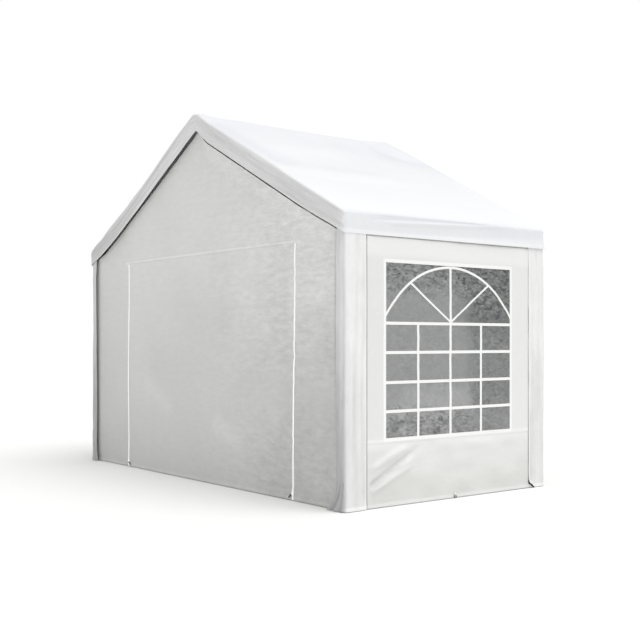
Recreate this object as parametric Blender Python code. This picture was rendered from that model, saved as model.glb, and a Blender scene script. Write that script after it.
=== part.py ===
"""A gabled marquee tent: a steel tube frame dressed with woven sheets, two zipped doors and two windows.

Sizes are in metres and +Z is up. The origin is on the ground, in the middle of the plan.
X runs across the gables and Y along the ridge. The front gable faces -Y.
"""

import math

import bmesh
import bpy
from mathutils import Matrix, Vector

# Outside of the tent
WIDTH = 3.90
LENGTH = 1.98
EAVE_HEIGHT = 2.00
RIDGE_HEIGHT = 2.96

# Sheets: their thickness, and how far the roof sheet hangs down at its edges
SHEET = 0.003
EDGE_DROP = 0.15
GAP = 0.0003

# Frame of round tube, pushed into the sleeves of its fittings
TUBE_RADIUS = 0.019
BORE_RADIUS = 0.0194
SLEEVE_RADIUS = 0.0215
HUB_RADIUS = 0.0210
SLEEVE_LENGTH = 0.12
BORE_START = 0.03
ROUND_SIDES = 16
LEG_INSET = 0.0265

# Feet
PLATE_SIZE = 0.10
PLATE_THICKNESS = 0.004
PLATE_CORNER = 0.020
SOCKET_HEIGHT = 0.05
SOCKET_FLOOR = 0.006

# Leg covers: an angle of sheet with a rounded outer corner
COVER_GABLE_FACE = 0.084
COVER_SIDE_FACE = 0.187
COVER_CORNER = 0.030
CORNER_STEPS = 8

# Gable walls, with a door held by two zips
GABLE_SETBACK = 0.038
DOOR_HEIGHT = 1.83
DOOR_LEFT = -1.305
DOOR_RIGHT = 1.305
ZIP_WIDTH = 0.025

# Side walls, with a window
SIDE_WALL_LAP = 0.080
WINDOW_WIDTH = 1.227
WINDOW_SILL = 0.467
WINDOW_HEAD = 1.674
WINDOW_OFFSET = -0.0155

# Places worked out from those
HALF_WIDTH = WIDTH / 2
HALF_LENGTH = LENGTH / 2
SLOPE = (RIDGE_HEIGHT - EAVE_HEIGHT) / HALF_WIDTH
ALONG_SLOPE = math.hypot(1, SLOPE)
LEG_X = HALF_WIDTH - LEG_INSET
LEG_Y = HALF_LENGTH - LEG_INSET
HEM_HEIGHT = PLATE_THICKNESS + GAP
INNER_X = HALF_WIDTH - SHEET - GAP


def roof_top(x):
    return RIDGE_HEIGHT - SLOPE * abs(x)


def below_roof(x, depth):
    """The height at x of a line that runs at this depth below the roof, measured square to it."""
    return roof_top(x) - depth * ALONG_SLOPE


def roof_edge(x):
    """The height at x where the roof sheet's hanging edge ends."""
    return roof_top(x) - EDGE_DROP


TUBE_DEPTH = SHEET + GAP + SLEEVE_RADIUS
CORNER_NODE = Vector((LEG_X, -LEG_Y, below_roof(LEG_X, TUBE_DEPTH)))
RIDGE_NODE = Vector((0, -LEG_Y, below_roof(0, TUBE_DEPTH)))
UP_RAFTER = (RIDGE_NODE - CORNER_NODE).normalized()
DOWN = Vector((0, 0, -1))
BACK = Vector((0, 1, 0))


def clear_scene():
    for old in list(bpy.data.objects):
        bpy.data.objects.remove(old, do_unlink=True)


def finish(name, colour, roughness, metallic=0.0, transmission=0.0):
    """A material with one Principled surface."""
    material = bpy.data.materials.new(name)
    material.use_nodes = True
    surface = material.node_tree.nodes["Principled BSDF"]
    surface.inputs["Base Color"].default_value = (*colour, 1.0)
    surface.inputs["Roughness"].default_value = roughness
    surface.inputs["Metallic"].default_value = metallic
    surface.inputs["Transmission Weight"].default_value = transmission
    return material


def add_object(name, mesh, material):
    piece = bpy.data.objects.new(name, mesh)
    if not mesh.materials:
        mesh.materials.append(material)
    bpy.context.scene.collection.objects.link(piece)
    return piece


def mesh_from(name, shape, smooth=False):
    """Turns a bmesh into a mesh with its faces pointing out."""
    bmesh.ops.recalc_face_normals(shape, faces=shape.faces)
    mesh = bpy.data.meshes.new(name)
    shape.to_mesh(mesh)
    shape.free()
    if smooth:
        mesh.shade_smooth()
        mesh.set_sharp_from_angle(angle=math.radians(40))
    return mesh


def prism_mesh(name, outline, depth):
    """A flat outline of points, given a thickness by the vector depth."""
    shape = bmesh.new()
    face = shape.faces.new([shape.verts.new(point) for point in outline])
    grown = bmesh.ops.extrude_face_region(shape, geom=[face])
    far_side = [item for item in grown["geom"] if isinstance(item, bmesh.types.BMVert)]
    bmesh.ops.translate(shape, verts=far_side, vec=depth)
    return mesh_from(name, shape)


def box_mesh(name, low, high):
    outline = [(low[0], low[1], low[2]), (high[0], low[1], low[2])]
    outline += [(high[0], high[1], low[2]), (low[0], high[1], low[2])]
    return prism_mesh(name, outline, Vector((0, 0, high[2] - low[2])))


def rod_mesh(name, start, end, radius):
    """A round rod from start to end."""
    run = end - start
    place = Matrix.Translation((start + end) / 2) @ run.to_track_quat("Z", "Y").to_matrix().to_4x4()
    shape = bmesh.new()
    bmesh.ops.create_cone(
        shape,
        cap_ends=True,
        segments=ROUND_SIDES,
        radius1=radius,
        radius2=radius,
        depth=run.length,
        matrix=place,
    )
    return mesh_from(name, shape, smooth=True)


def combine(name, base, added, removed):
    """One mesh: base, with the meshes in added joined to it and those in removed cut from it."""
    body = bpy.data.objects.new(name, base)
    bpy.context.scene.collection.objects.link(body)
    helpers = []
    for operation, tools in (("UNION", added), ("DIFFERENCE", removed)):
        for tool in tools:
            helper = bpy.data.objects.new(tool.name, tool)
            helper.hide_render = True
            helper.display_type = "WIRE"
            bpy.context.scene.collection.objects.link(helper)
            helpers.append(helper)
            boolean = body.modifiers.new(operation.title(), "BOOLEAN")
            boolean.operation = operation
            boolean.solver = "EXACT"
            boolean.object = helper
    graph = bpy.context.evaluated_depsgraph_get()
    mesh = bpy.data.meshes.new_from_object(body.evaluated_get(graph))
    mesh.name = name
    mesh.shade_smooth()
    mesh.set_sharp_from_angle(angle=math.radians(40))
    for helper in [body, *helpers]:
        bpy.data.objects.remove(helper, do_unlink=True)
    return mesh


def place_at_corners(name, mesh, material):
    """Copies a piece that was made for the front right corner to all four, mirrored."""
    for end, turn_y in (("front", 1), ("rear", -1)):
        for side, turn_x in (("right", 1), ("left", -1)):
            piece = add_object(f"{name}_{end}_{side}", mesh, material)
            piece.scale = (turn_x, turn_y, 1)


def place_at_sides(name, mesh, material):
    """Copies a piece that was made for the right side to the left, mirrored."""
    for side, turn_x in (("right", 1), ("left", -1)):
        piece = add_object(f"{name}_{side}", mesh, material)
        piece.scale = (turn_x, 1, 1)


def place_turned(names, mesh, material):
    """Places a piece as it was made, and again half a turn round the tent's middle."""
    for name, turn in zip(names, (0, math.pi)):
        piece = add_object(name, mesh, material)
        piece.rotation_euler = (0, 0, turn)


def fitting_mesh(name, node, directions):
    """A fitting: a round hub at a node of the frame, with a bored sleeve for each tube."""
    hub = bmesh.new()
    bmesh.ops.create_uvsphere(
        hub, u_segments=ROUND_SIDES, v_segments=ROUND_SIDES // 2, radius=HUB_RADIUS
    )
    bmesh.ops.translate(hub, verts=hub.verts, vec=node)
    sleeves = []
    bores = []
    for direction in directions:
        mouth = node + direction * SLEEVE_LENGTH
        floor = node + direction * BORE_START
        sleeves.append(rod_mesh("sleeve", node, mouth, SLEEVE_RADIUS))
        bores.append(rod_mesh("bore", floor, mouth + direction * BORE_START, BORE_RADIUS))
    return combine(name, mesh_from(name, hub), sleeves, bores)


def tube_between(name, start, end):
    """A tube from one node to another, stopping just short of the floors of its two bores."""
    inset = (end - start).normalized() * (BORE_START + GAP)
    return rod_mesh(name, start + inset, end - inset, TUBE_RADIUS)


def make_frame(steel):
    rear = Vector((1, -1, 1))
    down_rafters = [Vector((side * UP_RAFTER.x, 0, -UP_RAFTER.z)) for side in (1, -1)]
    corner_fitting = fitting_mesh("corner_fitting", CORNER_NODE, [DOWN, BACK, UP_RAFTER])
    place_at_corners("corner_fitting", corner_fitting, steel)
    ridge_fitting = fitting_mesh("ridge_fitting", RIDGE_NODE, [BACK, *down_rafters])
    place_turned(["ridge_fitting_front", "ridge_fitting_rear"], ridge_fitting, steel)

    foot = Vector((LEG_X, -LEG_Y, SOCKET_FLOOR + GAP))
    leg_top = CORNER_NODE + DOWN * (BORE_START + GAP)
    place_at_corners("leg", rod_mesh("leg", foot, leg_top, TUBE_RADIUS), steel)
    place_at_corners("rafter", tube_between("rafter", CORNER_NODE, RIDGE_NODE), steel)
    place_at_sides("eave_tube", tube_between("eave_tube", CORNER_NODE, CORNER_NODE * rear), steel)
    add_object("ridge_tube", tube_between("ridge_tube", RIDGE_NODE, RIDGE_NODE * rear), steel)


def make_feet(steel):
    """A plate with rounded corners and a socket that the leg stands in."""
    outer = Vector((INNER_X, -(HALF_LENGTH - SHEET - GAP), 0))
    shape = bmesh.new()
    bmesh.ops.create_cube(shape, size=1)
    bmesh.ops.scale(shape, verts=shape.verts, vec=(PLATE_SIZE, PLATE_SIZE, PLATE_THICKNESS))
    middle = outer + Vector((-PLATE_SIZE / 2, PLATE_SIZE / 2, PLATE_THICKNESS / 2))
    bmesh.ops.translate(shape, verts=shape.verts, vec=middle)
    upright = [edge for edge in shape.edges if abs((edge.verts[0].co - edge.verts[1].co).z) > GAP]
    bmesh.ops.bevel(shape, geom=upright, offset=PLATE_CORNER, segments=4, profile=0.5, affect="EDGES")
    plate = mesh_from("foot_plate", shape)

    base = Vector((LEG_X, -LEG_Y, PLATE_THICKNESS / 2))
    floor = Vector((LEG_X, -LEG_Y, SOCKET_FLOOR))
    rim = Vector((LEG_X, -LEG_Y, SOCKET_HEIGHT))
    socket = rod_mesh("socket", base, rim, SLEEVE_RADIUS)
    bore = rod_mesh("socket_bore", floor, rim - DOWN * SOCKET_HEIGHT, BORE_RADIUS)
    place_at_corners("foot_plate", combine("foot_plate", plate, [socket], [bore]), steel)


def make_roof(cloth):
    """Two slopes, and the sheet's hanging edges along the eaves and down the gables."""
    seam = GAP / 2
    front = -HALF_LENGTH
    along = Vector((0, LENGTH, 0))
    slope = [(seam, roof_top(seam)), (HALF_WIDTH, EAVE_HEIGHT)]
    slope += [(HALF_WIDTH, below_roof(HALF_WIDTH, SHEET)), (seam, below_roof(seam, SHEET))]
    mesh = prism_mesh("roof_slope", [(x, front, z) for x, z in slope], along)
    place_at_sides("roof_slope", mesh, cloth)

    inner = HALF_WIDTH - SHEET
    hanging = SHEET + GAP
    valance = [(inner, below_roof(inner, hanging)), (HALF_WIDTH, below_roof(HALF_WIDTH, hanging))]
    valance += [(HALF_WIDTH, roof_edge(HALF_WIDTH)), (inner, roof_edge(inner))]
    mesh = prism_mesh("valance", [(x, front, z) for x, z in valance], along)
    place_at_sides("valance", mesh, cloth)

    trim = [(seam, below_roof(seam, hanging)), (INNER_X, below_roof(INNER_X, hanging))]
    trim += [(INNER_X, roof_edge(INNER_X)), (seam, roof_edge(seam))]
    mesh = prism_mesh("gable_trim", [(x, front, z) for x, z in trim], Vector((0, SHEET, 0)))
    place_at_corners("gable_trim", mesh, cloth)


def arc(middle, radius):
    """Points of a quarter circle, from facing the front to facing the right side."""
    for step in range(CORNER_STEPS + 1):
        turn = math.pi / 2 * step / CORNER_STEPS
        yield (middle[0] + radius * math.sin(turn), middle[1] - radius * math.cos(turn))


def make_leg_covers(cloth):
    """A sleeve of sheet round the outer corner of each leg, cut at its top to follow the roof's edge."""
    middle = (HALF_WIDTH - COVER_CORNER, -HALF_LENGTH + COVER_CORNER)
    gable_end = HALF_WIDTH - COVER_GABLE_FACE
    side_end = -HALF_LENGTH + COVER_SIDE_FACE
    outline = [(gable_end, -HALF_LENGTH), *arc(middle, COVER_CORNER), (HALF_WIDTH, side_end)]
    inside = [(gable_end, -HALF_LENGTH + SHEET), *arc(middle, COVER_CORNER - SHEET)]
    outline += reversed([*inside, (HALF_WIDTH - SHEET, side_end)])

    shape = bmesh.new()
    face = shape.faces.new([shape.verts.new((x, y, HEM_HEIGHT)) for x, y in outline])
    grown = bmesh.ops.extrude_face_region(shape, geom=[face])
    for item in grown["geom"]:
        if isinstance(item, bmesh.types.BMVert):
            item.co.z = roof_edge(item.co.x) - GAP
    place_at_corners("leg_cover", mesh_from("leg_cover", shape, smooth=True), cloth)


def make_gables(cloth, zip_finish):
    """The gable wall hangs a little behind the roof's edge, between the legs and under the rafters."""
    outer_y = -HALF_LENGTH + GABLE_SETBACK
    thickness = Vector((0, SHEET, 0))
    side = LEG_X - SLEEVE_RADIUS - GAP
    under_rafters = TUBE_DEPTH + SLEEVE_RADIUS + GAP
    half_zip = ZIP_WIDTH / 2
    jambs = (DOOR_LEFT - half_zip - GAP, DOOR_RIGHT + half_zip + GAP)
    shoulder = below_roof(side, under_rafters)

    wall = [(-side, HEM_HEIGHT), (-side, shoulder), (0, below_roof(0, under_rafters))]
    wall += [(side, shoulder), (side, HEM_HEIGHT)]
    wall += [(jambs[1], HEM_HEIGHT), (jambs[1], DOOR_HEIGHT)]
    wall += [(jambs[0], DOOR_HEIGHT), (jambs[0], HEM_HEIGHT)]
    mesh = prism_mesh("gable_wall", [(x, outer_y, z) for x, z in wall], thickness)
    place_turned(["gable_wall_front", "gable_wall_rear"], mesh, cloth)

    def upright_sheet(name, left, right):
        low = (left, outer_y, HEM_HEIGHT)
        return box_mesh(name, low, (right, outer_y + SHEET, DOOR_HEIGHT - GAP))

    door = upright_sheet("door", DOOR_LEFT + half_zip + GAP, DOOR_RIGHT - half_zip - GAP)
    place_turned(["door_front", "door_rear"], door, cloth)
    left_zip = upright_sheet("left_zip", DOOR_LEFT - half_zip, DOOR_LEFT + half_zip)
    place_turned(["zip_front_left", "zip_rear_right"], left_zip, zip_finish)
    right_zip = upright_sheet("right_zip", DOOR_RIGHT - half_zip, DOOR_RIGHT + half_zip)
    place_turned(["zip_front_right", "zip_rear_left"], right_zip, zip_finish)


def make_side_walls(cloth, film):
    """The side wall hangs behind the valance and the leg covers, with a clear film in its window."""
    outer_x = HALF_WIDTH - SHEET - GAP
    inner_x = outer_x - SHEET
    reach = HALF_LENGTH - COVER_SIDE_FACE + SIDE_WALL_LAP
    top = CORNER_NODE.z - SLEEVE_RADIUS - GAP
    left = WINDOW_OFFSET - WINDOW_WIDTH / 2
    right = WINDOW_OFFSET + WINDOW_WIDTH / 2

    wall = box_mesh("side_wall", (inner_x, -reach, HEM_HEIGHT), (outer_x, reach, top))
    opening = box_mesh(
        "window_opening",
        (inner_x - SHEET, left - GAP, WINDOW_SILL - GAP),
        (outer_x + SHEET, right + GAP, WINDOW_HEAD + GAP),
    )
    mesh = combine("side_wall", wall, [], [opening])
    place_turned(["side_wall_right", "side_wall_left"], mesh, cloth)

    pane = box_mesh("window_film", (inner_x, left, WINDOW_SILL), (outer_x, right, WINDOW_HEAD))
    place_turned(["window_film_right", "window_film_left"], pane, film)


def main():
    clear_scene()
    steel = finish("galvanised steel", (0.55, 0.56, 0.57), 0.4, metallic=1.0)
    roof_cloth = finish("roof cloth", (0.90, 0.91, 0.93), 0.45)
    wall_cloth = finish("wall cloth", (0.78, 0.78, 0.77), 0.5)
    zip_finish = finish("zip", (0.88, 0.88, 0.88), 0.4)
    film = finish("window film", (0.45, 0.46, 0.47), 0.15, transmission=0.6)
    make_frame(steel)
    make_feet(steel)
    make_roof(roof_cloth)
    make_leg_covers(roof_cloth)
    make_gables(wall_cloth, zip_finish)
    make_side_walls(wall_cloth, film)


main()
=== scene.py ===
# %% [markdown]
# A marquee tent is woven sheet hung on a frame of steel tube. The tubes, sleeves and feet exist
# already as exact solids, so they are loaded first and stay as they are. All the soft pieces are
# modelled over them here, each where its own plain solid stands.

# %% Load the frame
import math

import bpy
import numpy as np
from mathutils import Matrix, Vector


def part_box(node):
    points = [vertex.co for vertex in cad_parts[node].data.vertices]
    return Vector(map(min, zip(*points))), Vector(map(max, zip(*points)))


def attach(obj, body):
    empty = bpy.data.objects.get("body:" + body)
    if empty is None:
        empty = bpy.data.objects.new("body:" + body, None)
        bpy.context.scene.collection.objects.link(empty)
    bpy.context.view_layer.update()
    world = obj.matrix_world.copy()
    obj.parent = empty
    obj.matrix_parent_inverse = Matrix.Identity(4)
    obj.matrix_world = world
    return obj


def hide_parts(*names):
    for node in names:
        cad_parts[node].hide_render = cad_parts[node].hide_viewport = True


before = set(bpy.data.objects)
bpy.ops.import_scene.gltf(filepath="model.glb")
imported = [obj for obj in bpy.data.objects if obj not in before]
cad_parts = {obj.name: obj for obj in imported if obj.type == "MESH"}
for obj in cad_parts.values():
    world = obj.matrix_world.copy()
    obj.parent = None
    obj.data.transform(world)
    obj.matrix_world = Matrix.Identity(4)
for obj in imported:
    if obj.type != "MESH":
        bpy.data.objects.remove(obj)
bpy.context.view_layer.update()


def brief(lengths):
    """Lengths to the millimetre, for the messages."""
    return [round(float(v), 3) for v in lengths]


# %% [markdown]
# All sizes of the cloth follow from the solids it hangs on. Reading them from their boxes keeps
# the dressed tent and the frame the same size, whatever either is changed to.

# %% Sizes from the solids
valance_low, valance_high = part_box("valance_right")
cover_low, cover_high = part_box("leg_cover_front_right")
zip_low, zip_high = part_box("zip_front_right")
wall_low, wall_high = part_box("side_wall_right")
film_low, film_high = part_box("window_film_right")

HALF_WIDTH = valance_high.x
HALF_LENGTH = valance_high.y
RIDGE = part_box("roof_slope_right")[1].z
EDGE_DROP = 0.15
EAVE = valance_low.z + EDGE_DROP
SLOPE = (RIDGE - EAVE) / HALF_WIDTH
ALONG = math.hypot(1, SLOPE)
SLOPE_LENGTH = HALF_WIDTH * ALONG
HEM_FOOT = cover_low.z
print("eave, ridge and slope length:", brief((EAVE, RIDGE, SLOPE_LENGTH)))


def roof_top(x):
    """The height of the roof over x."""
    return RIDGE - SLOPE * abs(x)


# %% [markdown]
# The photograph was taken at chest height with the camera level, so upright edges stay upright.
# A tilted camera would bend them. Level with a little shift frames the same view, as a real
# architectural lens does.

# %% Camera
YAW = 0.6917
EYE_HEIGHT = 1.136
EYE_BACK = 6.7467
EYE_ASIDE = 0.2369
FOCAL_PIXELS = 1024.178
PICTURE = 640
SENSOR = 36.0
AXIS_X, AXIS_Y = 380.0, 340.656

to_right = Vector((math.sin(YAW), math.cos(YAW), 0))
ahead = Vector((-math.cos(YAW), math.sin(YAW), 0))
near_corner = Vector((HALF_WIDTH, -HALF_LENGTH, 0))
eye = near_corner + EYE_ASIDE * to_right - EYE_BACK * ahead + Vector((0, 0, EYE_HEIGHT))

camera_data = bpy.data.cameras.new("camera")
camera_data.sensor_width = SENSOR
camera_data.lens = SENSOR * FOCAL_PIXELS / PICTURE
camera_data.shift_x = (PICTURE / 2 - AXIS_X) / PICTURE
camera_data.shift_y = (AXIS_Y - PICTURE / 2) / PICTURE
camera = bpy.data.objects.new("camera", camera_data)
camera.location = eye
camera.rotation_euler = (math.pi / 2, 0, math.pi / 2 - YAW)
bpy.context.scene.collection.objects.link(camera)
bpy.context.scene.camera = camera
print("camera at", brief(eye), "lens", round(camera_data.lens, 2))

# %% [markdown]
# Light and cloth are both described with nodes, so helpers for nodes and materials come first.


# %% Node helpers
def feed(tree, node, feeds):
    """Feeds a node: each pair is an input and its value, or the socket to link to it."""
    for name, value in feeds:
        if isinstance(value, bpy.types.NodeSocket):
            tree.links.new(value, node.inputs[name])
        else:
            node.inputs[name].default_value = value


def add_node(tree, kind, feeds=(), **settings):
    """Adds a shader node, makes its settings and feeds its inputs. Gives its outputs."""
    node = tree.nodes.new("ShaderNode" + kind)
    for key, value in settings.items():
        setattr(node, key, value)
    feed(tree, node, feeds)
    return node.outputs


def maths(tree, operation, first, second=0.0, third=0.0):
    """One Math node's result."""
    feeds = [(0, first), (1, second), (2, third)]
    return add_node(tree, "Math", feeds, operation=operation)[0]


def new_finish(name):
    """A new material, its node tree and its surface."""
    finish = bpy.data.materials.new(name)
    finish.use_nodes = True
    return finish, finish.node_tree, finish.node_tree.nodes["Principled BSDF"]


print("node helpers ready")

# %% [markdown]
# White cloth on a white ground reads only by the turn of its faces, so the light has to differ
# from face to face. A pale sky gives the ground tone, and one very soft sun, high over the window
# side, makes the roof brightest and the gable greyest. The plain colour transform keeps white
# white.

# %% Studio
SKY_LIGHT = 0.62
SKY_COLOUR = (0.98, 0.99, 1.0, 1)
SUN_STRENGTH = 1.75
SUN_WIDTH = 50.0
SUN_FROM = Vector((0.42, 0.10, 1.0))

bpy.context.scene.view_settings.view_transform = "Standard"
sky = bpy.data.worlds.new("studio_sky")
sky.use_nodes = True
sky_tree = sky.node_tree
sky_tree.nodes.clear()
sky_glow = add_node(sky_tree, "Background", [("Color", SKY_COLOUR), ("Strength", SKY_LIGHT)])
sky_seen = add_node(sky_tree, "Background", [("Color", (1, 1, 1, 1))])
is_seen = add_node(sky_tree, "LightPath")["Is Camera Ray"]
sky_feeds = [(0, is_seen), (1, sky_glow[0]), (2, sky_seen[0])]
sky_mix = add_node(sky_tree, "MixShader", sky_feeds)[0]
add_node(sky_tree, "OutputWorld", [("Surface", sky_mix)])
bpy.context.scene.world = sky

sun_data = bpy.data.lights.new("soft_sun", "SUN")
sun_data.energy = SUN_STRENGTH
sun_data.angle = math.radians(SUN_WIDTH)
sun_data.color = (1.0, 0.99, 0.975)
sun = bpy.data.objects.new("soft_sun", sun_data)
sun.rotation_euler = SUN_FROM.to_track_quat("Z", "Y").to_euler()
bpy.context.scene.collection.objects.link(sun)
print("lights set")

# %% [markdown]
# Operators act on all that is selected, and loading leaves the solids selected. So every step
# takes its own piece first, and one helper goes in and out of edit mode.


# %% Helpers for selecting and editing
def deselect():
    for piece in bpy.context.selected_objects:
        piece.select_set(False)


def take(piece):
    """Selects one piece alone and makes it the active one."""
    deselect()
    piece.select_set(True)
    bpy.context.view_layer.objects.active = piece


def apply_modifier(piece, kind, name, **settings):
    """Adds a modifier with its settings and applies it."""
    take(piece)
    modifier = piece.modifiers.new(name, kind)
    for key, value in settings.items():
        setattr(modifier, key, value)
    bpy.ops.object.modifier_apply(modifier=modifier.name)


def edit_mesh(piece, operator, chosen=None, **settings):
    """Runs an operator on the chosen faces of a piece, or on its whole mesh."""
    take(piece)
    if chosen is None:
        chosen = np.ones(len(piece.data.polygons), dtype=bool)
    bpy.ops.object.mode_set(mode="EDIT")
    bpy.ops.mesh.select_mode(type="FACE")
    bpy.ops.mesh.select_all(action="DESELECT")
    bpy.ops.object.mode_set(mode="OBJECT")
    piece.data.polygons.foreach_set("select", chosen)
    bpy.ops.object.mode_set(mode="EDIT")
    operator(**settings)
    bpy.ops.object.mode_set(mode="OBJECT")


def join_to(piece, others):
    """Joins other pieces to one, in their order."""
    for other in others:
        take(piece)
        other.select_set(True)
        bpy.ops.object.join()


def wear(piece, *finishes):
    for finish in finishes:
        piece.data.materials.append(finish)


def smooth(piece, degrees=50):
    """Shades a piece smooth over all edges but the sharper ones."""
    take(piece)
    bpy.ops.object.shade_smooth_by_angle(angle=math.radians(degrees))


# %% [markdown]
# The floor is only a stage. It is one plane, pale enough to end in white under these lights.

# %% Floor
FLOOR_SIZE = 60.0

deselect()
bpy.ops.mesh.primitive_plane_add(size=FLOOR_SIZE, location=(0, 0, 0))
floor = bpy.context.object
floor.name = "studio_floor"
floor_finish, floor_tree, floor_surface = new_finish("studio_floor_finish")
floor_feeds = [("Base Color", (0.93, 0.93, 0.92, 1)), ("Roughness", 0.9), ("Specular IOR Level", 0.1)]
feed(floor_tree, floor_surface, floor_feeds)
wear(floor, floor_finish)
print("floor laid")

# %% [markdown]
# A sheet is cut flat and then hung. Here it starts the same way: a grid whose lines are moved to
# chosen stations, close together where the cloth will fold. Its flat place is kept as the UV map
# in metres, so weave and crinkles follow the cloth through every fold.


# %% Cutting a flat cloth
def stations(start, *stops):
    """Places along one direction: each stop is an end and the largest step on the way to it."""
    places = [start]
    for end, step in stops:
        count = max(1, math.ceil(abs(end - places[-1]) / step - 1e-6))
        places.extend(np.linspace(places[-1], end, count + 1)[1:].tolist())
    return np.array(places)


def mirrored(places):
    """Stations from zero outwards, repeated on the other side of zero."""
    return np.concatenate((-places[:0:-1], places))


def lay_cloth(name, across, along):
    """A flat cloth with its grid lines at these stations."""
    deselect()
    columns, rows = len(across), len(along)
    bpy.ops.mesh.primitive_grid_add(x_subdivisions=columns - 1, y_subdivisions=rows - 1, size=2)
    cloth = bpy.context.object
    cloth.name = name
    points = read_points(cloth)
    column = np.rint((points[:, 0] + 1) / 2 * (columns - 1)).astype(int)
    row = np.rint((points[:, 1] + 1) / 2 * (rows - 1)).astype(int)
    flat = np.stack((across[column], along[row], np.zeros(len(points))), axis=1)
    write_points(cloth, flat)
    return cloth


def read_points(piece):
    points = np.empty(len(piece.data.vertices) * 3)
    piece.data.vertices.foreach_get("co", points)
    return points.reshape(-1, 3)


def face_middles(piece):
    middles = np.empty(len(piece.data.polygons) * 3)
    piece.data.polygons.foreach_get("center", middles)
    return middles.reshape(-1, 3)


def write_points(piece, points):
    piece.data.vertices.foreach_set("co", np.ascontiguousarray(points, dtype=float).ravel())
    piece.data.update()


def cut_out(cloth, inside):
    """Deletes the faces whose middles are inside, with the edges that held only them."""
    middles = face_middles(cloth)
    edit_mesh(cloth, bpy.ops.mesh.delete, inside(middles[:, 0], middles[:, 1]), type="FACE")


def keep_flat_map(cloth):
    """Writes the flat place of every point, in metres, to the UV map."""
    flat = read_points(cloth)[:, :2]
    loops = np.empty(len(cloth.data.loops), dtype=int)
    cloth.data.loops.foreach_get("vertex_index", loops)
    cloth.data.uv_layers[0].name = "flat"
    cloth.data.uv_layers[0].data.foreach_set("uv", np.ascontiguousarray(flat[loops]).ravel())
    return flat[:, 0], flat[:, 1]


def paint(cloth, **painted):
    """Keeps numbers from 0 to 1 for every point, for a material to read."""
    for name, values in painted.items():
        layer = cloth.data.attributes.new(name, "FLOAT", "POINT")
        values = np.clip(np.ascontiguousarray(values, dtype=np.float32), 0, 1)
        layer.data.foreach_set("value", values)


print("cloth helpers ready")

# %% [markdown]
# Slack sheet shows long soft folds, and sheet that was packed shows crinkles. A fold is a rounded
# ridge along a line that fades at both ends. Crinkles are smooth noise: random heights on a grid,
# blended between its points, always from the same seed.


# %% Folds and crinkles
NOISE_COLUMNS = 97
NOISE_ROWS = 89
NOISE_ACROSS = 300.37
NOISE_ALONG = 300.71


def unit(value):
    """The value kept between 0 and 1."""
    return np.clip(value, 0, 1)


def ease(value):
    """Zero below 0, one above 1, and smooth between."""
    value = unit(value)
    return value * value * (3 - 2 * value)


def bell(value, middle, width):
    """One at the middle, and almost nothing two widths away."""
    return np.exp(-(((value - middle) / width) ** 2))


def fold(u, v, start, end, width, height=1.0):
    """How far a soft fold from start to end lifts the cloth at u, v."""
    run = np.array(end, float) - np.array(start, float)
    length = np.hypot(*run)
    along = ((u - start[0]) * run[0] + (v - start[1]) * run[1]) / length**2
    across = ((u - start[0]) * run[1] - (v - start[1]) * run[0]) / length
    return height * bell(across, 0, width) * ease(along * 5) * ease((1 - along) * 5)


def folds(u, v, rows):
    """Several folds together. Each row is a start, an end, a width and a height."""
    return sum(fold(u, v, *row) for row in rows)


def crumple(u, v, size_u, size_v, seed):
    """Smooth noise from -1 to 1, with bumps of these two sizes."""
    heights = np.random.default_rng(seed).uniform(-1, 1, (NOISE_COLUMNS, NOISE_ROWS))
    x, y = np.asarray(u) / size_u + NOISE_ACROSS, np.asarray(v) / size_v + NOISE_ALONG
    column, row = np.floor(x).astype(int), np.floor(y).astype(int)
    fx, fy = ease(x - column), ease(y - row)

    def height(right, up):
        return heights[(column + right) % NOISE_COLUMNS, (row + up) % NOISE_ROWS]

    here = height(0, 0) * (1 - fx) + height(1, 0) * fx
    above = height(0, 1) * (1 - fx) + height(1, 1) * fx
    return here * (1 - fy) + above * fy


print("fold and crumple ready")

# %% [markdown]
# The sheet is a polyethylene tape weave between two clear coats. Tapes 2.5 mm wide pass over and
# under each other, which two crossed sine waves show well enough.

# %% Weave group
TAPE_PAIR = 0.005
VALUE, COLOUR, VECTOR = "NodeSocketFloat", "NodeSocketColor", "NodeSocketVector"


def new_group(name, takes, gives):
    """An empty node group, the sockets that it is given and its output node."""
    group = bpy.data.node_groups.new(name, "ShaderNodeTree")
    for socket, kind in takes:
        group.interface.new_socket(socket, in_out="INPUT", socket_type=kind)
    for socket, kind in gives:
        group.interface.new_socket(socket, in_out="OUTPUT", socket_type=kind)
    return group, group.nodes.new("NodeGroupInput").outputs, group.nodes.new("NodeGroupOutput")


weave, weave_in, weave_out = new_group(
    "tape_weave", [("Flat place", VECTOR), ("Depth", VALUE)], [("Height", VALUE)]
)
weave_xyz = add_node(weave, "SeparateXYZ", [(0, weave_in["Flat place"])])
turns = 2 * math.pi / TAPE_PAIR
across_tapes = maths(weave, "SINE", maths(weave, "MULTIPLY", weave_xyz["X"], turns))
along_tapes = maths(weave, "SINE", maths(weave, "MULTIPLY", weave_xyz["Y"], turns))
crossing = maths(weave, "MULTIPLY", across_tapes, along_tapes)
feed(weave, weave_out, [("Height", maths(weave, "MULTIPLY", crossing, weave_in["Depth"]))])
print("weave group:", len(weave.nodes), "nodes")

# %% [markdown]
# No cloth is one even colour. The coat is uneven and hems are two layers, and shade is painted
# in as well: numbers painted on the cloth say where its hems, its painted shade and its crushed
# parts are. The painted shade darkens the cloth in folds, in corners, low down, on faces turned
# from the light and where the room behind is dark. The group mixes them into one colour and
# gives the roughness the same unevenness.

# %% Tone group
TONE_VALUES = ("Hem", "Painted shade", "Crushed", "Roughness", "Mottle")
TONE_COLOURS = ("Cloth", "Hem cloth", "Shaded cloth")


def mixed(tree, factor, first, second):
    """A Mix node's blend of two colours."""
    feeds = [(0, factor), (6, first), (7, second)]
    return add_node(tree, "Mix", feeds, data_type="RGBA")[2]


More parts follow.
